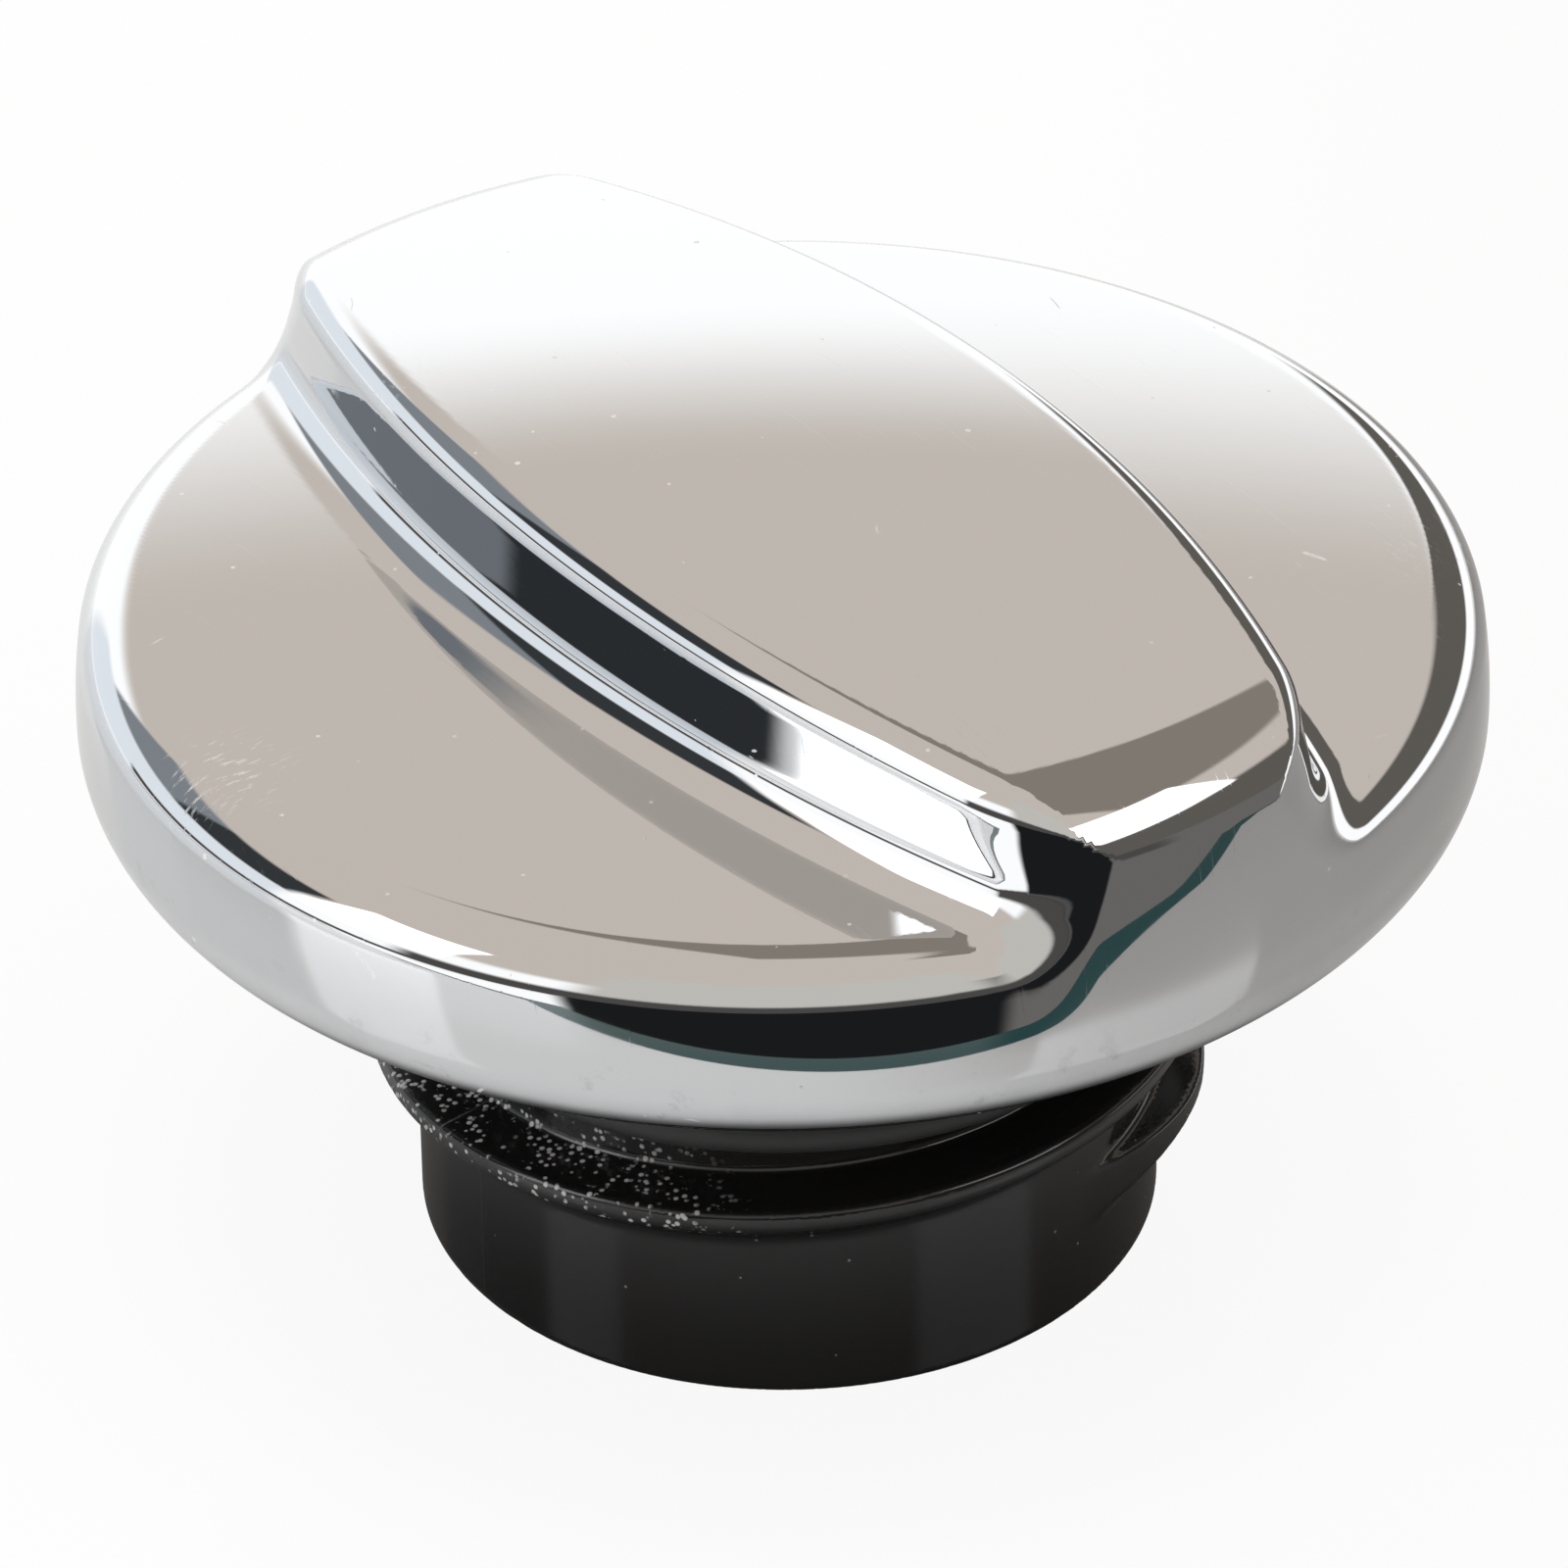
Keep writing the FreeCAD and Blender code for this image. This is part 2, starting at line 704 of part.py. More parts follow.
def make_pawl_spring(number):
    """Torsion spring round the post: one leg lies over the pawl, the other bears on the peg."""
    spring = doc.addObject("Part::Feature", "pawl_spring_%d" % (number + 1))
    spring.Label = spring.Name
    wire = size("pawl_wire").value / 2.0
    radius = size("pawl_coil_radius").value
    turns = size("pawl_coil_turns").value
    pitch = (size("pawl_wire") * size("pawl_coil_spread")).value
    bottom = pawl_top.value + wire + size("pawl_coil_lift").value
    centre = FreeCAD.Vector(size("pawl_pivot_radius").value, 0, bottom)
    helix = Part.makeHelix(pitch, pitch * turns, radius)
    helix.translate(centre)
    start = centre + FreeCAD.Vector(radius, 0, 0)
    section = Part.Wire([Part.makeCircle(wire, start, FreeCAD.Vector(0, 1, 0))])
    body = Part.Wire(helix.Edges).makePipeShell([section], True, True)
    end = centre + FreeCAD.Vector(-radius, 0, pitch * turns)
    tangent = FreeCAD.Vector(0, -1, 0)
    arm_leg = Part.makeCylinder(wire, size("pawl_arm_leg").value, start, tangent)
    peg_leg = Part.makeCylinder(wire, size("pawl_peg_leg").value, end, tangent)
    spring.Shape = body.fuse([arm_leg, peg_leg]).removeSplitter()
    turn_about_axis(spring, number * FULL_TURN / DRIVING_SIZES["pawl_count"])
    return spring


def make_wave_spring():
    """Ring bent into three waves: it holds the cover up against the retaining ring."""
    spring = doc.addObject("Part::Feature", "wave_spring")
    spring.Label = spring.Name
    thickness = size("wave_thickness").value
    low = washer_top.value
    high = (size("ceiling_height") - size("wave_play")).value
    waves = int(size("wave_count").value)
    middle = (low + high - thickness) / 2.0
    swing = (high - low - thickness) / 2.0
    inner = (size("washer_inner") + size("wave_inset")).value
    outer = (size("washer_outer") - size("wave_inset")).value
    points_per_wave = 12
    steps = points_per_wave * waves

    def wavy_edge(radius, lift):
        points = []
        for step in range(steps):
            angle = 2.0 * math.pi * step / steps
            height = middle + swing * math.sin(waves * angle) + lift
            points.append(FreeCAD.Vector(radius * math.cos(angle), radius * math.sin(angle), height))
        curve = Part.BSplineCurve()
        curve.interpolate(points, PeriodicFlag=True)
        return curve.toShape()

    edges = [wavy_edge(inner, 0.0), wavy_edge(outer, 0.0),
             wavy_edge(outer, thickness), wavy_edge(inner, thickness)]
    faces = []
    for index, edge in enumerate(edges):
        faces.append(Part.makeRuledSurface(edges[index - 1], edge))
    shell = Part.makeShell([face for strip in faces for face in strip.Faces])
    shell.sewShape()
    solid = Part.makeSolid(shell)
    if solid.Volume < 0:
        solid.reverse()
    spring.Shape = solid
    return spring


# ---- Vent valve ---------------------------------------------------------------------------

def make_pressure_valve_disc():
    """Plate that lifts off the seat seal; a ring of ports in it feeds the vacuum valve."""
    body = new_body("pressure_valve_disc")
    bore = size("stem_radius") + size("stem_clearance")
    hub_top = disc_top + size("disc_hub_height")
    turned(body, "Plate", [
        (bore, seat_seal_top),
        (size("disc_radius"), seat_seal_top),
        (size("disc_radius"), disc_top),
        (size("disc_hub"), disc_top),
        (size("disc_hub"), hub_top),
        (size("disc_hub") - size("disc_hub_wall"), hub_top),
        (size("disc_hub") - size("disc_hub_wall"), disc_top),
        (bore, disc_top),
    ])
    doc.recompute()
    plan = new_sketch(body, "Port_plan", "XY_Plane", disc_top)
    circle(plan, (size("disc_port_circle"), 0), size("disc_port"))
    port = cut(body, "Port", plan)
    around(body, "Ports", port, plan, size("disc_port_count"))
    return body


def make_spring_retainer():
    """Vented cup that holds the pressure spring down, clamped under the carrier."""
    body = new_body("spring_retainer")
    inner = size("retainer_bore") - size("retainer_rim")
    turned(body, "Cup", [
        (size("retainer_hole"), size("retainer_seat")),
        (size("retainer_bore"), size("retainer_seat")),
        (size("retainer_bore"), size("carrier_bottom")),
        (inner, size("carrier_bottom")),
        (inner, retainer_floor),
        (size("retainer_hole"), retainer_floor),
    ])
    doc.recompute()
    plan = new_sketch(body, "Vent_plan", "XY_Plane", retainer_floor)
    circle(plan, (size("retainer_vent_circle"), 0), size("retainer_vent"))
    vent = cut(body, "Vent", plan)
    around(body, "Vents", vent, plan, size("retainer_vent_count"))
    return body


def make_vacuum_valve_stem():
    """Headed stem hung from the pressure disc by its spring and clip."""
    body = new_body("vacuum_valve_stem")
    head_bottom = vacuum_seal_bottom - size("stem_head_thickness")
    groove = size("stem_radius") - size("clip_groove")
    clip_top = size("clip_bottom") + size("clip_thickness")
    turned(body, "Stem", [
        (0, head_bottom),
        (size("stem_head"), head_bottom),
        (size("stem_head"), vacuum_seal_bottom),
        (size("stem_radius"), vacuum_seal_bottom),
        (size("stem_radius"), size("clip_bottom")),
        (groove, size("clip_bottom")),
        (groove, clip_top),
        (size("stem_radius"), clip_top),
        (size("stem_radius"), size("stem_top")),
        (0, size("stem_top")),
    ])
    return body


def make_vacuum_spring_clip():
    """Open clip in the stem's groove."""
    clip_top = size("clip_bottom") + size("clip_thickness")
    groove = size("stem_radius") - size("clip_groove")
    body = ring("vacuum_spring_clip", groove, size("clip_radius"), size("clip_bottom"), clip_top)
    plan = new_sketch(body, "Mouth_plan", "XY_Plane", clip_top)
    mouth = size("clip_mouth")
    outside = size("clip_radius") + size("clip_groove")
    outline(plan, [
        (0, -mouth),
        (outside, -mouth),
        (outside, mouth),
        (0, mouth),
    ])
    cut(body, "Mouth", plan)
    return body


def make_spring(label, mean_radius, wire, bottom, top, turns):
    body = new_body(label)
    coil(body, "Coil", mean_radius, wire, bottom, top, turns)
    return body


def make_splash_baffle():
    """Slotted disc pressed into the skirt, below the valve."""
    body = new_body("splash_baffle")
    turned(body, "Disc", [
        (0, baffle_bottom),
        (size("skirt_inner") - size("press_gap"), baffle_bottom),
        (size("skirt_inner") - size("press_gap"), size("baffle_seat")),
        (0, size("baffle_seat")),
    ])
    doc.recompute()
    plan = new_sketch(body, "Slot_plan", "XY_Plane", size("baffle_seat"))
    half = size("baffle_slot_width") / 2.0
    outline(plan, [
        (size("baffle_slot_inner"), -half),
        (size("baffle_slot_outer"), -half),
        (size("baffle_slot_outer"), half, size("baffle_slot_outer"), 1),
        (size("baffle_slot_inner"), half),
    ])
    slot = cut(body, "Slot", plan)
    around(body, "Slots", slot, plan, size("baffle_slot_count"))
    return body


# ---- Assembly -----------------------------------------------------------------------------

pawl_numbers = range(int(DRIVING_SIZES["pawl_count"]))
sub_parts = [
    make_cover_shell(),
    make_ratchet_crown(),
    make_retaining_ring(),
    make_plug_body(),
    make_main_seal(),
    make_pawl_carrier(),
    make_carrier_screws(),
    ring("thrust_washer", size("washer_inner"), size("washer_outer"), carrier_top, washer_top),
    make_wave_spring(),
    ring("valve_seat_seal", size("seat_seal_inner"), size("seat_seal_outer"),
         size("bulkhead_top"), seat_seal_top),
    make_pressure_valve_disc(),
    make_spring("pressure_spring", size("pressure_coil_radius"), size("pressure_wire"),
                disc_top, size("retainer_seat"), size("pressure_turns")),
    make_spring_retainer(),
    make_vacuum_valve_stem(),
    ring("vacuum_valve_seal", size("stem_radius"), size("vacuum_seal_outer"),
         vacuum_seal_bottom, seat_seal_top),
    make_spring("vacuum_spring", size("vacuum_coil_radius"), size("vacuum_wire"),
                disc_top, size("clip_bottom"), size("vacuum_turns")),
    make_vacuum_spring_clip(),
    make_splash_baffle(),
]
sub_parts += [make_pawl(number) for number in pawl_numbers]
sub_parts += [make_pawl_spring(number) for number in pawl_numbers]
doc.recompute()

for item in doc.Objects:
    if "Invalid" in item.State or "Error" in item.State:
        raise RuntimeError("%s failed: %s" % (item.Name, item.State))
for item in sub_parts:
    if item.Shape.isNull() or not item.Shape.isValid():
        raise RuntimeError("%s has no valid shape" % item.Label)

os.makedirs("parts", exist_ok=True)
for item in sub_parts:
    item.Shape.exportStep("parts/%s.step" % item.Label)
    print("%-22s solids %d  volume %9.2f" % (item.Label, len(item.Shape.Solids), item.Shape.Volume))
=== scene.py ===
from collections import namedtuple
import json
import math

import bpy
import numpy as np
from mathutils import Matrix, Vector


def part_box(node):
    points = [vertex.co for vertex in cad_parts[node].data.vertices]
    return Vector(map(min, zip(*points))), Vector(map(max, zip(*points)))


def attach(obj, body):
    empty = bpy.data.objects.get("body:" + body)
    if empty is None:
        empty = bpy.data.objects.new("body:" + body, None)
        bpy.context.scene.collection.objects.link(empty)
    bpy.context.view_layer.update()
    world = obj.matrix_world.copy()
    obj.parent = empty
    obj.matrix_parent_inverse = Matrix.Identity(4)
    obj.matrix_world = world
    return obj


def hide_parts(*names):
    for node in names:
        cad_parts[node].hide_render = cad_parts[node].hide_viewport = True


# Looks for the deck fill cap. The chromed cover and the threaded plug are meshed here from
# their own distance fields, so that every edge is truly rounded and mirrors cleanly. All other
# pieces are the CAD's, with procedural materials.

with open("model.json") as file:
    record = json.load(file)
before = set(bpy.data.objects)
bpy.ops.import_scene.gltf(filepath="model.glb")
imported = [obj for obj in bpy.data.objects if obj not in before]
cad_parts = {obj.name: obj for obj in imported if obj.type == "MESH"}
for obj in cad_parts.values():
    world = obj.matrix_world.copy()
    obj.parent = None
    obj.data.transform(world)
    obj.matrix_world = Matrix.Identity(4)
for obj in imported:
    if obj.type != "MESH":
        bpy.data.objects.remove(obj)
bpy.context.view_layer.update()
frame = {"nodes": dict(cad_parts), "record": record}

MM = 0.001
FULL_TURN = 2.0 * math.pi

# ---- Sizes, from the frame and from the real cap ------------------------------------------

COVER_LOW, COVER_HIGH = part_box("cover_shell")
GROOVE_LOW, GROOVE_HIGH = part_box("retaining_ring")
PLUG_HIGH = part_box("plug_body")[1]
RATCHET_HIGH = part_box("ratchet_crown")[1]
SEAL_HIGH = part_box("main_seal")[1]
BAFFLE_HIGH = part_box("splash_baffle")[1]
RETAINER_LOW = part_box("spring_retainer")[0]
SEAT_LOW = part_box("valve_seat_seal")[0]

CAP_RADIUS = COVER_HIGH.x
RIM_BOTTOM = COVER_LOW.z
CROWN_TOP = COVER_HIGH.z
SKIRT_BORE = RATCHET_HIGH.x
CEILING = RATCHET_HIGH.z


# ---- Meshes from distance fields ----------------------------------------------------------

# How the vertices are drawn onto the surface: the reaches and the longest pull are shares of a
# grid step. The grid stands out past the surface by a margin on every side.
PULL_ROUNDS = 4
PULL_REACH = 0.02
LONGEST_PULL = 0.4
NORMAL_REACH = 0.5
LEAST_STEEPNESS = 0.05
LEAST_LENGTH = 1e-9
GRID_MARGIN = 1.2 * MM


def round_and(a, b, radius):
    """Where both solids are, with their shared edge rounded off to the radius."""
    corner = np.hypot(np.maximum(radius + a, 0.0), np.maximum(radius + b, 0.0))
    return np.minimum(-radius, np.maximum(a, b)) + corner


def round_or(a, b, radius):
    """Where either solid is, with the inside corner filled to the radius."""
    corner = np.hypot(np.maximum(radius - a, 0.0), np.maximum(radius - b, 0.0))
    return np.maximum(radius, np.minimum(a, b)) - corner


def smooth(value, start, end):
    """0 before start, 1 after end, with an eased step between them."""
    t = np.clip((value - start) / (end - start), 0.0, 1.0)
    return t * t * (3.0 - 2.0 * t)


def slope_of(field, points, reach):
    """The field's gradient at each point."""
    slope = np.empty_like(points)
    for axis in range(3):
        shift = np.zeros(3)
        shift[axis] = reach
        ahead = points + shift
        behind = points - shift
        slope[:, axis] = (field(*ahead.T) - field(*behind.T)) / (2.0 * reach)
    return slope


def cell_corners(values, axis):
    """For the edges along one axis, the four that bound each grid cell."""
    others = [other for other in range(3) if other != axis]
    views = []
    for first in (0, 1):
        for second in (0, 1):
            view = [slice(None)] * 3
            for other, offset in zip(others, (first, second)):
                view[other] = slice(offset, values.shape[other] - 1 + offset)
            views.append(tuple(view))
    return views


def net_of_surface(field, low, high, step):
    """Surface nets: one vertex in each grid cell that the surface crosses, one quad for each
    grid edge that it crosses. The vertices are then drawn onto the surface."""
    counts = np.ceil((high - low) / step).astype(int) + 1
    lines = [low[axis] + step * np.arange(counts[axis]) for axis in range(3)]
    grid = np.meshgrid(*lines, indexing="ij")
    values = field(*grid)
    inside = values < 0.0
    total = np.zeros(tuple(counts - 1) + (3,))
    found = np.zeros(tuple(counts - 1))
    crossed = []
    for axis in range(3):
        near = [slice(None)] * 3
        far = [slice(None)] * 3
        near[axis] = slice(0, -1)
        far[axis] = slice(1, None)
        near, far = tuple(near), tuple(far)
        crossing = inside[near] != inside[far]
        crossed.append((crossing, inside[near]))
        gap = np.where(crossing, values[near] - values[far], 1.0)
        share = np.where(crossing, values[near] / gap, 0.0)
        place = [np.where(crossing, grid[other][near], 0.0) for other in range(3)]
        place[axis] = place[axis] + share * step
        for view in cell_corners(crossing, axis):
            found += crossing[view]
            for other in range(3):
                total[..., other] += place[other][view]
    active = found > 0
    number = np.full(active.shape, -1, dtype=np.int64)
    number[active] = np.arange(int(active.sum()))
    points = total[active] / found[active][:, None]
    quads = []
    for axis, (crossing, starts_inside) in enumerate(crossed):
        u, v = [(1, 2), (2, 0), (0, 1)][axis]
        places = np.argwhere(crossing)
        fits = (places[:, u] > 0) & (places[:, v] > 0)
        fits &= (places[:, u] < counts[u] - 1) & (places[:, v] < counts[v] - 1)
        places = places[fits]
        ring = []
        for back_u, back_v in ((1, 1), (0, 1), (0, 0), (1, 0)):
            cell = places.copy()
            cell[:, u] -= back_u
            cell[:, v] -= back_v
            ring.append(number[tuple(cell.T)])
        quad = np.stack(ring, axis=1)
        outward = starts_inside[tuple(places.T)]
        quad[~outward] = quad[~outward][:, ::-1]
        quads.append(quad)
    quads = np.concatenate(quads)
    for _ in range(PULL_ROUNDS):
        slope = slope_of(field, points, step * PULL_REACH)
        steepness = np.maximum((slope * slope).sum(axis=1), LEAST_STEEPNESS)
        move = slope * (field(*points.T) / steepness)[:, None]
        points = points - np.clip(move, -step * LONGEST_PULL, step * LONGEST_PULL)
    normals = slope_of(field, points, step * NORMAL_REACH)
    normals /= np.maximum(np.linalg.norm(normals, axis=1), LEAST_LENGTH)[:, None]
    return points, quads, normals


def field_piece(name, field, low, high, step):
    """A mesh object of the surface where the field is zero, shaded with the field's slope."""
    points, quads, normals = net_of_surface(field, np.array(low), np.array(high), step)
    mesh = bpy.data.meshes.new(name)
    mesh.vertices.add(len(points))
    mesh.vertices.foreach_set("co", points.ravel())
    mesh.loops.add(quads.size)
    mesh.loops.foreach_set("vertex_index", quads.ravel())
    mesh.polygons.add(len(quads))
    mesh.polygons.foreach_set("loop_start", np.arange(0, quads.size, 4))
    mesh.update(calc_edges=True)
    mesh.validate()
    mesh.shade_smooth()
    mesh.normals_split_custom_set_from_vertices(normals.tolist())
    piece = bpy.data.objects.new(name, mesh)
    bpy.context.collection.objects.link(piece)
    return piece


# ---- Cover --------------------------------------------------------------------------------

# The rim's side is an arc that stands out furthest at one level. The wings and the crown are
# shallow domes. The bar's sides are arcs that lean in by its draft, and its ends end in a roll.
RIM_WIDEST = 34.3 * MM
RIM_BULGE = 30.0 * MM
RIM_BOTTOM_ROUND = 5.0 * MM
WING_APEX = 42.3 * MM
WING_RADIUS = 700.0 * MM
WING_EDGE_ROUND = 2.6 * MM
CROWN_APEX = CROWN_TOP + 1.0 * MM
CROWN_RADIUS = 340.0 * MM
END_BULGE = 60.0 * MM
END_ROLL = 4.0 * MM
BAR_SIDE_RADIUS = 105.0 * MM
BAR_HALF_WIDTH = 16.4 * MM
BAR_DRAFT = 0.06
BAR_TOP_ROUND = 1.9 * MM
BAR_FOOT_ROUND = 2.6 * MM
BAR_BLEND = 1.8 * MM
LIP_ROUND = 0.35 * MM
COVER_STEP = 0.32 * MM


def dome(rho, z, top, radius):
    """Inside a sphere whose highest point is on the axis at top."""
    return np.hypot(rho, z - (top - radius)) - radius


def cover_field(x, y, z):
    """The cover: a bulging rim with two wings, and the grip bar along X between them."""
    rho = np.hypot(x, y)
    wall = np.hypot(x, np.abs(y) + BAR_SIDE_RADIUS - BAR_HALF_WIDTH) - BAR_SIDE_RADIUS
    wall = wall + BAR_DRAFT * (z - WING_APEX)
    bar = round_and(dome(rho, z, CROWN_APEX, CROWN_RADIUS), wall, BAR_TOP_ROUND)
    top = round_or(dome(rho, z, WING_APEX, WING_RADIUS), bar, BAR_FOOT_ROUND)

    # The rim's side bulges; the bar's ends stand straighter, so that the side changes over
    # from one to the other across the bar's walls.
    on_bar = smooth(-wall, -BAR_BLEND, BAR_BLEND) * smooth(z, RIM_WIDEST, WING_APEX)
    bulge = RIM_BULGE + (END_BULGE - RIM_BULGE) * on_bar
    side = np.hypot(rho - (CAP_RADIUS - bulge), z - RIM_WIDEST) - bulge
    side = round_and(side, RIM_BOTTOM - z, RIM_BOTTOM_ROUND)
    to_crown = smooth(z, WING_APEX, CROWN_APEX - END_ROLL)
    edge = WING_EDGE_ROUND + (END_ROLL - WING_EDGE_ROUND) * to_crown
    outside = round_and(side, top, edge)

    hollow = np.maximum(rho - SKIRT_BORE, z - CEILING)
    groove_middle = 0.5 * (GROOVE_LOW.z + GROOVE_HIGH.z)
    groove_height = GROOVE_HIGH.z - GROOVE_LOW.z
    groove = np.maximum(rho - GROOVE_HIGH.x, np.abs(z - groove_middle) - 0.5 * groove_height)
    hollow = np.minimum(hollow, groove)
    return round_and(outside, -hollow, LIP_ROUND)


def make_cover():
    reach = CAP_RADIUS + GRID_MARGIN
    step = COVER_STEP
    piece = field_piece("chrome_cover", cover_field,
                        (-reach, -reach, RIM_BOTTOM - GRID_MARGIN),
                        (reach, reach, CROWN_APEX + GRID_MARGIN), step)
    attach(piece, "cover")
    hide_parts("cover_shell")
    return piece


# ---- Plug ---------------------------------------------------------------------------------

# The plug is turned: skirt, narrower neck, flange and barrel. The thread starts low on the skirt
# and climbs by its lead in each turn; its upper flank is nearly flat and its lower one slopes.
SKIRT_RADIUS = 21.5 * MM
SKIRT_TOP = 13.2 * MM
SKIRT_EDGE_ROUND = 0.5 * MM
NECK_RADIUS = 20.5 * MM
FLANGE_BOTTOM = SEAL_HIGH.z
FLANGE_THICKNESS = 2.4 * MM
FLANGE_TOP = FLANGE_BOTTOM + FLANGE_THICKNESS
FLANGE_RADIUS = PLUG_HIGH.x
BARREL_RADIUS = 23.2 * MM
SMALL_ROUND = 0.3 * MM
SEAT_HOLE = 8.0 * MM
OPEN_BELOW = -1.0  # far under the plug, so that its hollow is open there
THREAD_CREST = 24.2 * MM
THREAD_LEAD = 6.75 * MM
THREAD_START = 8.4 * MM
THREAD_TURNS = 1.25
THREAD_RAMP_IN = math.radians(48.0)
THREAD_RAMP_OUT = math.radians(30.0)
THREAD_CREST_WIDTH = 1.2 * MM
THREAD_UPPER_SLOPE = 0.10
THREAD_LOWER_SLOPE = 0.80
THREAD_CREST_ROUND = 0.35 * MM
THREAD_FOOT_ROUND = 0.45 * MM
THREAD_SUNK = 1.4 * MM
PLUG_STEP = 0.35 * MM


def turned_block(rho, z, radius, bottom, top, edge):
    """A solid disc between two levels, with its edges rounded."""
    return round_and(rho - radius, np.maximum(bottom - z, z - top), edge)


def thread_field(rho, angle, z):
    """One ridge of the thread at a total turned angle; it rises out of the skirt and dies away."""
    height = smooth(angle, 0.0, THREAD_RAMP_IN)
    height = height * smooth(FULL_TURN * THREAD_TURNS - angle, 0.0, THREAD_RAMP_OUT)
    sunk = SKIRT_RADIUS - THREAD_SUNK
    crest = sunk + (THREAD_CREST - sunk) * height
    level = z - (THREAD_START + THREAD_LEAD * angle / FULL_TURN)
    depth = THREAD_CREST - rho
    upper = (level - THREAD_UPPER_SLOPE * depth) / math.hypot(1.0, THREAD_UPPER_SLOPE)
    lower = -level - THREAD_CREST_WIDTH - THREAD_LOWER_SLOPE * depth
    lower = lower / math.hypot(1.0, THREAD_LOWER_SLOPE)
    return round_and(np.maximum(upper, lower), rho - crest, THREAD_CREST_ROUND)


def plug_field(x, y, z):
    """The plug: skirt, neck, flange, barrel and thread, with the hollow and the bores cut out."""
    rho = np.hypot(x, y)
    angle = np.mod(np.arctan2(y, x), FULL_TURN)
    skirt_top = SKIRT_TOP + SKIRT_EDGE_ROUND
    skirt = turned_block(rho, z, SKIRT_RADIUS, 0.0, skirt_top, SKIRT_EDGE_ROUND)
    neck = turned_block(rho, z, NECK_RADIUS, SKIRT_TOP, FLANGE_TOP, SMALL_ROUND)
    flange = turned_block(rho, z, FLANGE_RADIUS, FLANGE_BOTTOM, FLANGE_TOP, SMALL_ROUND)
    barrel = turned_block(rho, z, BARREL_RADIUS, FLANGE_BOTTOM, PLUG_HIGH.z, SMALL_ROUND)
    solid = np.minimum(round_or(skirt, neck, SMALL_ROUND), np.minimum(flange, barrel))
    for turn in range(math.ceil(THREAD_TURNS)):
        ridge = thread_field(rho, angle + turn * FULL_TURN, z)
        solid = round_or(solid, ridge, THREAD_FOOT_ROUND)
    skirt_hollow = turned_block(rho, z, BAFFLE_HIGH.x, OPEN_BELOW, BAFFLE_HIGH.z, SMALL_ROUND)
    valve_hole = rho - SEAT_HOLE
    barrel_bore = np.maximum(rho + RETAINER_LOW.x, SEAT_LOW.z - z)
    hollow = np.minimum(skirt_hollow, np.minimum(valve_hole, barrel_bore))
    return round_and(solid, -hollow, SMALL_ROUND)


def make_plug():
    reach = FLANGE_RADIUS + GRID_MARGIN
    step = PLUG_STEP
    piece = field_piece("threaded_plug", plug_field,
                        (-reach, -reach, -GRID_MARGIN),
                        (reach, reach, PLUG_HIGH.z + GRID_MARGIN), step)
    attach(piece, "plug")
    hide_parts("plug_body")
    return piece


# ---- Material helpers ---------------------------------------------------------------------

SPECK_CORE = 0.55


class Shader:
    """A node tree with short ways to add and join its nodes."""

    def __init__(self, tree):
        self.tree = tree
        tree.nodes.clear()

    def add(self, kind, inputs=None, **settings):
        node = self.tree.nodes.new(kind)
        for name, value in settings.items():
            setattr(node, name, value)
        for name, value in (inputs or {}).items():
            if isinstance(value, bpy.types.NodeSocket):
                self.tree.links.new(value, node.inputs[name])
            else:
                node.inputs[name].default_value = value
        return node

    def math(self, operation, a, b=0.0, clamp=False):
        inputs = {0: a, 1: b}
        return self.add("ShaderNodeMath", inputs, operation=operation, use_clamp=clamp).outputs[0]

    def vector_math(self, operation, a, b=(0.0, 0.0, 0.0)):
        """A number made from two vectors: a distance, a length or a dot product."""
        inputs = {0: a, 1: b}
        return self.add("ShaderNodeVectorMath", inputs, operation=operation).outputs["Value"]

    def times(self, a, b):
        return self.math("MULTIPLY", a, b)

    def plus(self, a, b, clamp=False):
        return self.math("ADD", a, b, clamp)

    def either(self, a, b):
        return self.math("MAXIMUM", a, b)

    def parts(self, vector):
        """The X, Y and Z sockets of a vector."""
        return self.add("ShaderNodeSeparateXYZ", {"Vector": vector}).outputs

    def step(self, value, start, end):
        """An eased step of value, from 0 at start to 1 at end."""
        inputs = {"Value": value, "From Min": start, "From Max": end}
        return self.add("ShaderNodeMapRange", inputs, interpolation_type="SMOOTHSTEP").outputs["Result"]

    def mix(self, share, a, b):
        """From colour a to colour b."""
        inputs = {0: share, 6: a, 7: b}
        return self.add("ShaderNodeMix", inputs, data_type="RGBA").outputs[2]

    def noise(self, where, scale, detail=3.0, roughness=0.55, distortion=0.0):
        inputs = {"Vector": where, "Scale": scale, "Detail": detail,
                  "Roughness": roughness, "Distortion": distortion}
        return self.add("ShaderNodeTexNoise", inputs).outputs["Fac"]

    def stretched(self, where, scale, turn):
        """The coordinates turned and stretched, for grain and scratches that run one way."""
        inputs = {"Vector": where, "Scale": scale, "Rotation": turn}
        return self.add("ShaderNodeMapping", inputs).outputs["Vector"]

    def specks(self, where, scale, size):
        """1 inside small scattered dots, 0 outside."""
        cells = self.add("ShaderNodeTexVoronoi", {"Vector": where, "Scale": scale, "Randomness": 1.0})
        return self.step(cells.outputs["Distance"], size, size * SPECK_CORE)


def new_material(name):
    material = bpy.data.materials.new(name)
    material.use_nodes = True
    return material, Shader(material.node_tree)


def finish_material(shader, sockets, height, strength, distance):
    """Adds the surface shader, bumped by the height."""
    bump = shader.add("ShaderNodeBump", {"Height": height, "Strength": strength, "Distance": distance})
    surface = shader.add("ShaderNodeBsdfPrincipled", {**sockets, "Normal": bump.outputs["Normal"]})
    shader.add("ShaderNodeOutputMaterial", {"Surface": surface.outputs["BSDF"]})


def object_place(shader):
    return shader.add("ShaderNodeTexCoord").outputs["Object"]


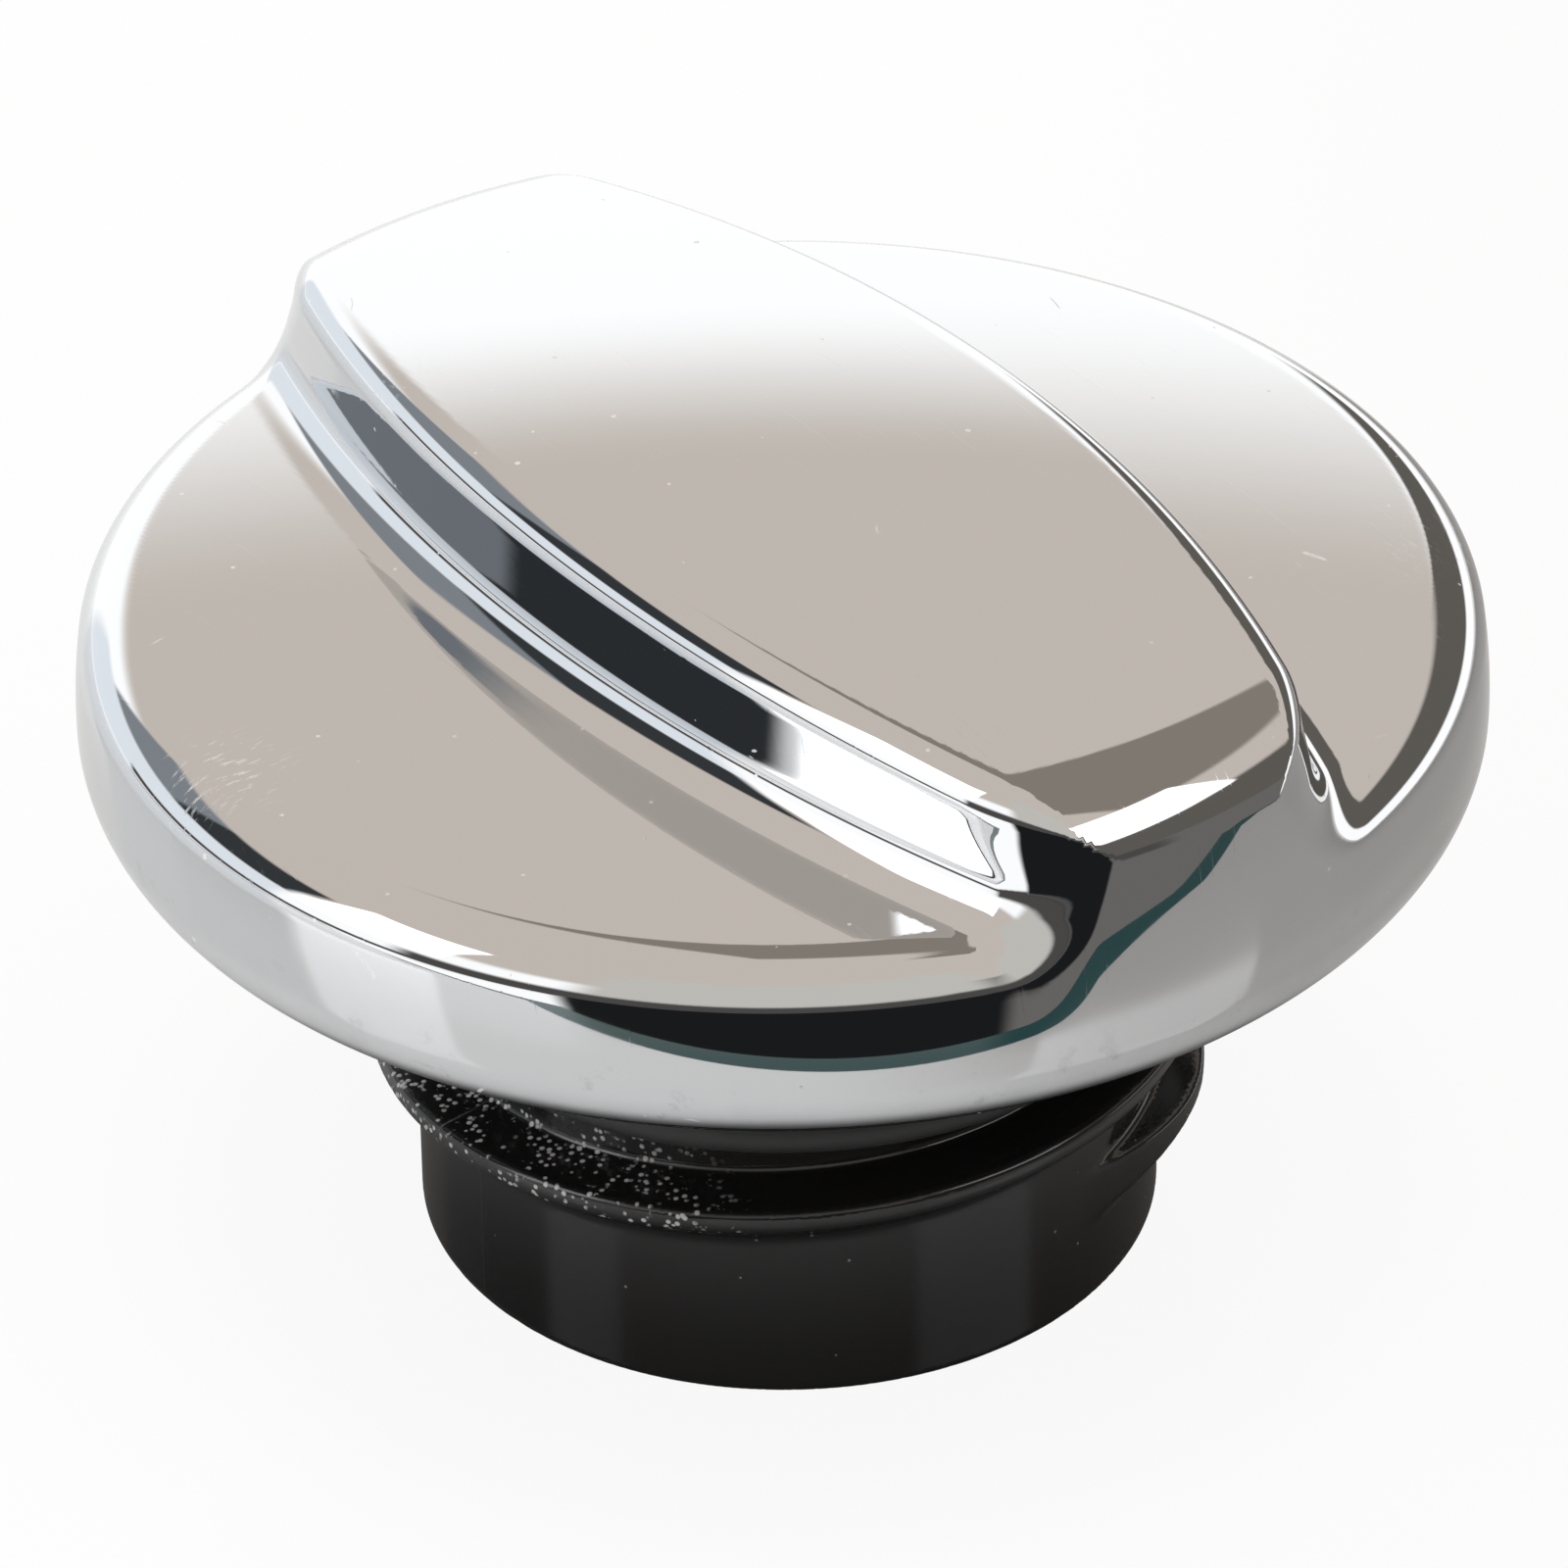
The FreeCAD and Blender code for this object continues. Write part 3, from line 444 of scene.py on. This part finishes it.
def opaque(colour):
    return tuple(colour) + (1.0,)


def shade(colour, share):
    """The colour, darkened to a share of itself."""
    return tuple(share * channel for channel in colour) + (1.0,)


def grey(value):
    return (value, value, value, 1.0)


# ---- Materials ----------------------------------------------------------------------------

CHROME_COLOUR = (0.640, 0.648, 0.655)
GRIME_COLOUR = (0.33, 0.34, 0.34)
GRIME_TOP = RIM_WIDEST + 3.0 * MM
GRIME_FULL = RIM_BOTTOM + 1.0 * MM
RUBBED_PLACE = (-1.9 * MM, -36.4 * MM, 41.2 * MM)
RUBBED_REACH = 5.5 * MM
RUBBED_CORE = 0.5 * MM
FINE_RELIEF = 0.02 * MM


def fibres(shader, place, scale, reach):
    """Short curved hairs: pieces of one contour line of a noise, kept near scattered points."""
    line = shader.noise(place, scale * 1.3, detail=0.0, roughness=0.4, distortion=0.3)
    off_line = shader.math("ABSOLUTE", shader.math("SUBTRACT", line, 0.5))
    near = shader.specks(place, scale, reach)
    return shader.times(shader.step(off_line, 0.012, 0.004), near)


def rubbed_patch(shader, place):
    """Fine strokes on the edge of one finger recess."""
    from_rub = shader.vector_math("DISTANCE", place, RUBBED_PLACE)
    rubbed = shader.step(from_rub, RUBBED_REACH, RUBBED_CORE)
    along = shader.stretched(place, scale=(5.0, 1.0, 1.0), turn=(0.0, 0.0, 0.35))
    strokes = shader.noise(along, scale=700.0, detail=3.0, roughness=0.6)
    return shader.times(rubbed, shader.step(strokes, 0.56, 0.66))


def rim_grime(shader, place):
    """Blots and smears low on the rim's side."""
    low = shader.step(shader.parts(place)["Z"], GRIME_TOP, GRIME_FULL)
    blots = shader.step(shader.noise(place, scale=420.0, detail=5.0, roughness=0.7), 0.58, 0.70)
    smears = shader.step(shader.noise(place, scale=95.0, detail=5.0, roughness=0.65), 0.50, 0.75)
    return shader.times(low, shader.either(blots, shader.times(smears, 0.4)))


def chrome_material():
    """Bright chrome plate with faint haze, hairline scratches, dust and grime under the rim."""
    material, shader = new_material("chrome_plate")
    place = object_place(shader)

    haze = shader.step(shader.noise(place, scale=60.0, detail=4.0, roughness=0.6), 0.55, 0.8)
    across = shader.stretched(place, scale=(1.0, 6.0, 1.0), turn=(0.3, 0.2, 0.9))
    streaks = shader.noise(across, scale=1400.0, detail=2.0)
    scuffed = shader.step(shader.noise(place, scale=38.0, detail=2.0), 0.60, 0.72)
    scuffs = shader.times(scuffed, shader.step(streaks, 0.60, 0.66))
    long = shader.stretched(place, scale=(1.0, 24.0, 1.0), turn=(0.0, 0.4, 0.55))
    hairs = shader.step(shader.noise(long, scale=160.0, detail=1.0, roughness=0.4), 0.715, 0.73)
    rubbed = rubbed_patch(shader, place)
    grime = rim_grime(shader, place)
    dust = shader.either(shader.specks(place, scale=330.0, size=0.05),
                         shader.specks(place, scale=150.0, size=0.035))
    dust = shader.either(dust, fibres(shader, place, scale=120.0, reach=0.13))

    colour = shader.mix(shader.times(grime, 0.6), opaque(CHROME_COLOUR), opaque(GRIME_COLOUR))
    colour = shader.mix(shader.times(rubbed, 0.6), colour, grey(0.92))
    colour = shader.mix(shader.times(dust, 0.75), colour, grey(0.95))
    rough = shader.plus(0.02, shader.times(haze, 0.035))
    for worn, amount in ((scuffs, 0.2), (rubbed, 0.5), (dust, 0.5), (grime, 0.12)):
        rough = shader.plus(rough, shader.times(worn, amount), clamp=True)
    peel = shader.noise(place, scale=170.0, detail=2.0, roughness=0.5)
    relief = shader.plus(peel, shader.times(hairs, 0.35))
    finish_material(shader, {"Base Color": colour, "Metallic": 1.0, "Roughness": rough},
                    relief, strength=0.05, distance=FINE_RELIEF)
    return material


def moulding_marks(shader, place):
    """What every moulded piece shows: flow streaks in the gloss, mould grain and dust."""
    upwards = shader.stretched(place, scale=(1.0, 1.0, 0.25), turn=(0.0, 0.0, 0.4))
    flow = shader.noise(upwards, scale=130.0, detail=4.0, roughness=0.6)
    grain = shader.noise(place, scale=2600.0, detail=2.0, roughness=0.5)
    dust = shader.either(shader.specks(place, scale=420.0, size=0.05),
                         shader.specks(place, scale=170.0, size=0.03))
    return flow, grain, dust


def dusty(shader, base, dust):
    return shader.mix(shader.times(dust, 0.5), base, grey(0.35))


def moulded_plastic(name, colour, roughness, relief):
    """Moulded plastic: fine mould grain, flow streaks in the gloss, a little dust."""
    material, shader = new_material(name)
    place = object_place(shader)
    flow, grain, dust = moulding_marks(shader, place)
    base = dusty(shader, shader.mix(flow, shade(colour, 0.75), opaque(colour)), dust)
    rough = shader.plus(roughness, shader.times(flow, 0.06))
    rough = shader.plus(rough, shader.times(dust, 0.3), clamp=True)
    finish_material(shader, {"Base Color": base, "Roughness": rough, "IOR": 1.5},
                    grain, strength=relief, distance=FINE_RELIEF)
    return material


# Where the grain and its painted glints begin above the thread, where they end under the flange, how far
# round they reach,
# and how far the seam does: each is the start and the end of an eased step.
GLINT_FOOT = (11.0 * MM, 12.5 * MM)
GLINT_TOP = (20.0 * MM, 18.0 * MM)
GLINT_SIDE = (-14.0 * MM, -19.0 * MM)
SEAM_EDGE = (0.16 * MM, 0.05 * MM)
BLACK_DARK = (0.0085, 0.008, 0.0078)
BLACK_LIGHT = (0.0115, 0.0108, 0.0105)


def grain_with_painted_glints(shader, place):
    """Rough grain in the thread's groove, on one side of the plug only, with its specks painted pale as
    glints.
    """
    parts = shader.parts(place)
    above = shader.times(shader.step(parts["Z"], *GLINT_FOOT), shader.step(parts["Z"], *GLINT_TOP))
    glint_side = shader.times(above, shader.step(parts["Y"], *GLINT_SIDE))
    grains = shader.times(shader.specks(place, scale=2100.0, size=0.42), glint_side)
    patches = shader.noise(place, scale=700.0, detail=2.0)
    return shader.times(grains, shader.step(patches, 0.42, 0.55))


def plug_material():
    """Glossy black plastic with the mould's parting lines, and rough grain above the thread whose specks
    are painted pale as glints.
    """
    material, shader = new_material("black_plastic")
    place = object_place(shader)
    flow, grain, dust = moulding_marks(shader, place)
    grain_glints = grain_with_painted_glints(shader, place)

    # The two halves of the mould met in the YZ plane.
    from_plane = shader.math("ABSOLUTE", shader.parts(place)["X"])
    seam = shader.step(from_plane, *SEAM_EDGE)

    base = dusty(shader, shader.mix(flow, opaque(BLACK_DARK), opaque(BLACK_LIGHT)), dust)
    # The grain's specks are made pale here: painted glints.
    base = shader.mix(shader.times(grain_glints, 0.7), base, grey(0.75))
    rough = shader.plus(0.10, shader.times(flow, 0.06))
    for patch, amount in ((dust, 0.3), (grain_glints, 0.2), (seam, 0.15)):
        rough = shader.plus(rough, shader.times(patch, amount), clamp=True)
    relief = shader.plus(shader.times(grain, 0.25), seam)
    relief = shader.plus(relief, grain_glints)
    finish_material(shader, {"Base Color": base, "Roughness": rough, "IOR": 1.53},
                    relief, strength=0.5, distance=0.03 * MM)
    return material


def rubber_material():
    """Black rubber with a paler bloom in patches."""
    material, shader = new_material("seal_rubber")
    place = object_place(shader)
    bloom = shader.noise(place, scale=240.0, detail=5.0, roughness=0.65)
    grain = shader.noise(place, scale=3200.0, detail=3.0, roughness=0.6)
    base = shader.mix(bloom, grey(0.012), opaque((0.035, 0.034, 0.033)))
    rough = shader.plus(0.42, shader.times(bloom, 0.2))
    finish_material(shader, {"Base Color": base, "Roughness": rough, "IOR": 1.52},
                    grain, strength=0.3, distance=FINE_RELIEF)
    return material


def metal_material(name, colour, roughness, stretch, scale):
    """Drawn or turned metal: fine lines along the working direction, darker in patches."""
    material, shader = new_material(name)
    place = object_place(shader)
    along = shader.stretched(place, scale=stretch, turn=(0.0, 0.0, 0.0))
    lines = shader.noise(along, scale, detail=3.0, roughness=0.6)
    patches = shader.noise(place, scale=200.0, detail=4.0, roughness=0.6)
    base = shader.mix(patches, opaque(colour), shade(colour, 0.7))
    rough = shader.plus(roughness, shader.times(lines, 0.16))
    finish_material(shader, {"Base Color": base, "Metallic": 1.0, "Roughness": rough},
                    lines, strength=0.15, distance=FINE_RELIEF)
    return material


def make_materials():
    """One material for each of the record's slots."""
    drawn = (1.0, 1.0, 8.0)
    turned = (1.0, 1.0, 12.0)
    return {
        "chrome_plate": chrome_material(),
        "black_plastic": plug_material(),
        "grey_plastic": moulded_plastic("grey_plastic", (0.10, 0.10, 0.105), 0.38, relief=0.25),
        "acetal_white": moulded_plastic("acetal_white", (0.72, 0.71, 0.67), 0.34, relief=0.2),
        "acetal_black": moulded_plastic("acetal_black", (0.025, 0.025, 0.027), 0.32, relief=0.2),
        "seal_rubber": rubber_material(),
        "spring_steel": metal_material("spring_steel", (0.52, 0.52, 0.53), 0.2, drawn, scale=900.0),
        "stainless": metal_material("stainless", (0.62, 0.62, 0.63), 0.18, turned, scale=700.0),
        "valve_brass": metal_material("valve_brass", (0.74, 0.52, 0.22), 0.2, turned, scale=700.0),
    }


def dress_pieces(materials, new_pieces):
    """Gives every CAD node its slot's material, and each new piece the one named for it."""
    slots = {part["node"]: part["material_slot"] for part in frame["record"]["subparts"]}
    for node, shape in frame["nodes"].items():
        shape.data.materials.clear()
        shape.data.materials.append(materials[slots[node]])
    for piece, slot in new_pieces:
        piece.data.materials.append(materials[slot])


# ---- Camera -------------------------------------------------------------------------------

# The camera stands to one side of the bar's end and well above the rim, whose middle it aims a
# little below. The cap's radius fills a share of the picture's width.
VIEW_AZIMUTH = math.radians(54.9)
VIEW_ELEVATION = math.radians(33.02)
VIEW_DISTANCE = 14.0 * CAP_RADIUS
VIEW_ROLL = math.radians(-0.8)
SENSOR_WIDTH = 36.0
RADIUS_SHARE = 0.449875
AIM_DROP = 0.1459 * CAP_RADIUS
CLIP_START = 0.01
CLIP_END = 20.0
UP = Vector((0.0, 0.0, 1.0))


def view_axes():
    """The camera's right, and the level direction away from it."""
    right = Vector((math.cos(VIEW_AZIMUTH), math.sin(VIEW_AZIMUTH), 0.0))
    away = Vector((-math.sin(VIEW_AZIMUTH), math.cos(VIEW_AZIMUTH), 0.0))
    return right, away


def make_camera():
    right, away = view_axes()
    back = UP * math.sin(VIEW_ELEVATION) - away * math.cos(VIEW_ELEVATION)
    data = bpy.data.cameras.new("camera")
    data.sensor_width = SENSOR_WIDTH
    data.lens = SENSOR_WIDTH * RADIUS_SHARE * VIEW_DISTANCE / CAP_RADIUS
    data.clip_start = CLIP_START
    data.clip_end = CLIP_END
    camera = bpy.data.objects.new("camera", data)
    bpy.context.collection.objects.link(camera)
    rim_centre = UP * RIM_WIDEST
    place = rim_centre + back * VIEW_DISTANCE
    aim = rim_centre - back.cross(right) * AIM_DROP
    turn = (aim - place).to_track_quat("-Z", "Y").to_matrix().to_4x4()
    roll = Matrix.Rotation(VIEW_ROLL, 4, "Z")
    camera.matrix_world = Matrix.Translation(place) @ turn @ roll
    bpy.context.scene.camera = camera


# ---- Studio -------------------------------------------------------------------------------

# Soft panels round the object, which the chrome mirrors. Each is placed by the direction of its
# middle, turned left from straight behind the object and raised above the floor; then come its
# half sizes and its soft edge, all in degrees, and its colour.
Panel = namedtuple("Panel", "name turned raised half_width half_height edge colour")
PANELS = [
    Panel("ceiling", 0.0, 90.0, 200.0, 61.0, 3.5, (0.80, 0.72, 0.65)),
    Panel("left_low", 66.0, 9.0, 31.0, 10.0, 2.0, (1.08, 1.15, 1.22)),
    Panel("left_grey", 57.0, 28.5, 14.0, 9.5, 1.5, (0.30, 0.33, 0.36)),
    Panel("left_dark", 83.0, 28.5, 14.0, 9.5, 1.5, (0.05, 0.055, 0.06)),
    Panel("left_window", 112.0, 31.0, 13.0, 15.0, 1.0, (3.4, 3.4, 3.45)),
    Panel("left_horizon", 104.0, 1.0, 42.0, 2.0, 1.0, (0.10, 0.09, 0.08)),
    Panel("right_high", -51.0, 62.5, 61.0, 17.0, 1.5, (0.33, 0.29, 0.25)),
    Panel("right_side", -84.0, 19.0, 72.0, 12.5, 1.5, (0.16, 0.148, 0.13)),
    Panel("right_low", -122.0, -16.0, 28.0, 30.0, 1.0, (0.20, 0.19, 0.18)),
    Panel("front_wall", 180.0, 33.0, 32.0, 21.0, 4.0, (0.78, 0.75, 0.70)),
    Panel("front_low", 180.0, 6.0, 60.0, 7.0, 3.0, (0.10, 0.095, 0.09)),
    Panel("right_window", -120.0, 39.0, 20.0, 9.0, 0.8, (3.4, 3.4, 3.45)),
    Panel("below_table", 180.0, -45.0, 34.0, 46.0, 2.0, (0.015, 0.016, 0.017)),
]
BACKDROP = grey(1.5)
SEEN_BACKGROUND = grey(1.0)


def panel_share(shader, ray, panel):
    """How much of a panel a direction sees, from 0 to 1."""
    right, away = view_axes()
    turn = math.radians(panel.turned)
    middle = away * math.cos(turn) - right * math.sin(turn)
    along = shader.vector_math("DOT_PRODUCT", ray, middle)
    across = shader.vector_math("DOT_PRODUCT", ray, UP.cross(middle))
    azimuth = shader.math("ABSOLUTE", shader.math("ARCTAN2", across, along))
    elevation = shader.math("ARCSINE", shader.parts(ray)["Z"])
    lift = shader.math("ABSOLUTE", shader.math("SUBTRACT", elevation, math.radians(panel.raised)))
    width = math.radians(panel.half_width)
    height = math.radians(panel.half_height)
    edge = math.radians(panel.edge)
    wide = shader.step(azimuth, width + edge, width - edge)
    tall = shader.step(lift, height + edge, height - edge)
    return shader.times(wide, tall)


def make_world():
    """The studio's panels on a pale backdrop; the camera itself sees a white one."""
    world = bpy.data.worlds.new("studio")
    bpy.context.scene.world = world
    world.use_nodes = True
    shader = Shader(world.node_tree)
    ray = shader.add("ShaderNodeTexCoord").outputs["Generated"]
    colour = BACKDROP
    for panel in PANELS:
        colour = shader.mix(panel_share(shader, ray, panel), colour, opaque(panel.colour))
    seen = shader.add("ShaderNodeLightPath").outputs["Is Camera Ray"]
    colour = shader.mix(seen, colour, SEEN_BACKGROUND)
    background = shader.add("ShaderNodeBackground", {"Color": colour})
    shader.add("ShaderNodeOutputWorld", {"Surface": background.outputs["Background"]})


# The table top's front edge runs askew in front of the object; its glass edge is teal.
TABLE_FRONT = 0.110
TABLE_SKEW = 0.22
TABLE_EDGE = 0.010
TABLE_LEFT = 1.0
TABLE_RIGHT = 0.45
TABLE_BACK = 1.5
TABLE_DROP = 0.05 * MM
TABLE_DARK = (0.64, 0.66, 0.68)
TABLE_PALE = (0.66, 0.68, 0.70)
TABLE_TEAL = (0.012, 0.055, 0.06)
TABLE_GLOSS = 0.09
TABLE_GLOW = 0.93
# Painted shade on the right side of the table.
SIDE_SHADE = 0.36
SIDE_REACH = 2.0 * CAP_RADIUS
# Painted shadow of the cap on the table round the plug.
UNDER_SHADE = 0.05
UNDER_SHARE = 0.85
UNDER_REACH = 1.1 * CAP_RADIUS


def table_material():
    """Pale glossy paint, with painted shade on the right and a painted shadow under the object; white
    where it is seen.
    """
    right, away = view_axes()
    material, shader = new_material("floor_paper")
    place = object_place(shader)
    base = shader.mix(shader.noise(place, scale=8.0, detail=3.0), opaque(TABLE_DARK), opaque(TABLE_PALE))
    across = shader.vector_math("DOT_PRODUCT", place, right)
    # Painted shade: darker towards the right.
    base = shader.mix(shader.step(across, 0.0, SIDE_REACH), base, grey(SIDE_SHADE))
    # Painted shadow: the table is darkened round the plug, where the cap shades it.
    from_plug = shader.vector_math("LENGTH", place)
    under = shader.step(from_plug, UNDER_REACH, SKIRT_RADIUS)
    base = shader.mix(shader.times(under, UNDER_SHARE), base, grey(UNDER_SHADE))
    forwards = shader.vector_math("DOT_PRODUCT", place, right * TABLE_SKEW - away)
    edge = shader.math("GREATER_THAN", forwards, TABLE_FRONT - TABLE_EDGE)
    base = shader.mix(edge, base, opaque(TABLE_TEAL))
    paint = shader.add("ShaderNodeBsdfPrincipled", {"Base Color": base, "Roughness": TABLE_GLOSS})
    white = shader.add("ShaderNodeEmission", {"Color": grey(1.0), "Strength": 1.0})
    seen = shader.times(shader.add("ShaderNodeLightPath").outputs["Is Camera Ray"], TABLE_GLOW)
    both = {0: seen, 1: paint.outputs["BSDF"], 2: white.outputs["Emission"]}
    surface = shader.add("ShaderNodeMixShader", both)
    shader.add("ShaderNodeOutputMaterial", {"Surface": surface.outputs["Shader"]})
    return material


def make_floor():
    """A pale table top, whose glass edge just in front of the object shows in the chrome."""
    right, away = view_axes()
    corners = [(-TABLE_LEFT, -TABLE_FRONT - TABLE_SKEW * TABLE_LEFT),
               (TABLE_RIGHT, -TABLE_FRONT + TABLE_SKEW * TABLE_RIGHT),
               (TABLE_RIGHT, TABLE_BACK),
               (-TABLE_LEFT, TABLE_BACK)]
    mesh = bpy.data.meshes.new("floor")
    mesh.from_pydata([right * across + away * behind for across, behind in corners], [], [(0, 1, 2, 3)])
    mesh.materials.append(table_material())
    floor = bpy.data.objects.new("floor", mesh)
    bpy.context.collection.objects.link(floor)
    floor.location.z = -TABLE_DROP


LIGHT_WIDTH = 1.6
LIGHT_POWER = 14.0
LIGHT_HEIGHT = 1.5


def make_lights():
    """A large soft light overhead that lights the floor and plastic but isn't mirrored."""
    data = bpy.data.lights.new("overhead", "AREA")
    data.shape = "DISK"
    data.size = LIGHT_WIDTH
    data.energy = LIGHT_POWER
    light = bpy.data.objects.new("overhead", data)
    bpy.context.collection.objects.link(light)
    light.location = UP * LIGHT_HEIGHT
    light.visible_glossy = False
    light.visible_camera = False


# ---- Assembly -----------------------------------------------------------------------------

cover = make_cover()
plug = make_plug()
dress_pieces(make_materials(), [(cover, "chrome_plate"), (plug, "black_plastic")])
make_camera()
make_world()
make_floor()
make_lights()
bpy.context.scene.view_settings.view_transform = "Standard"
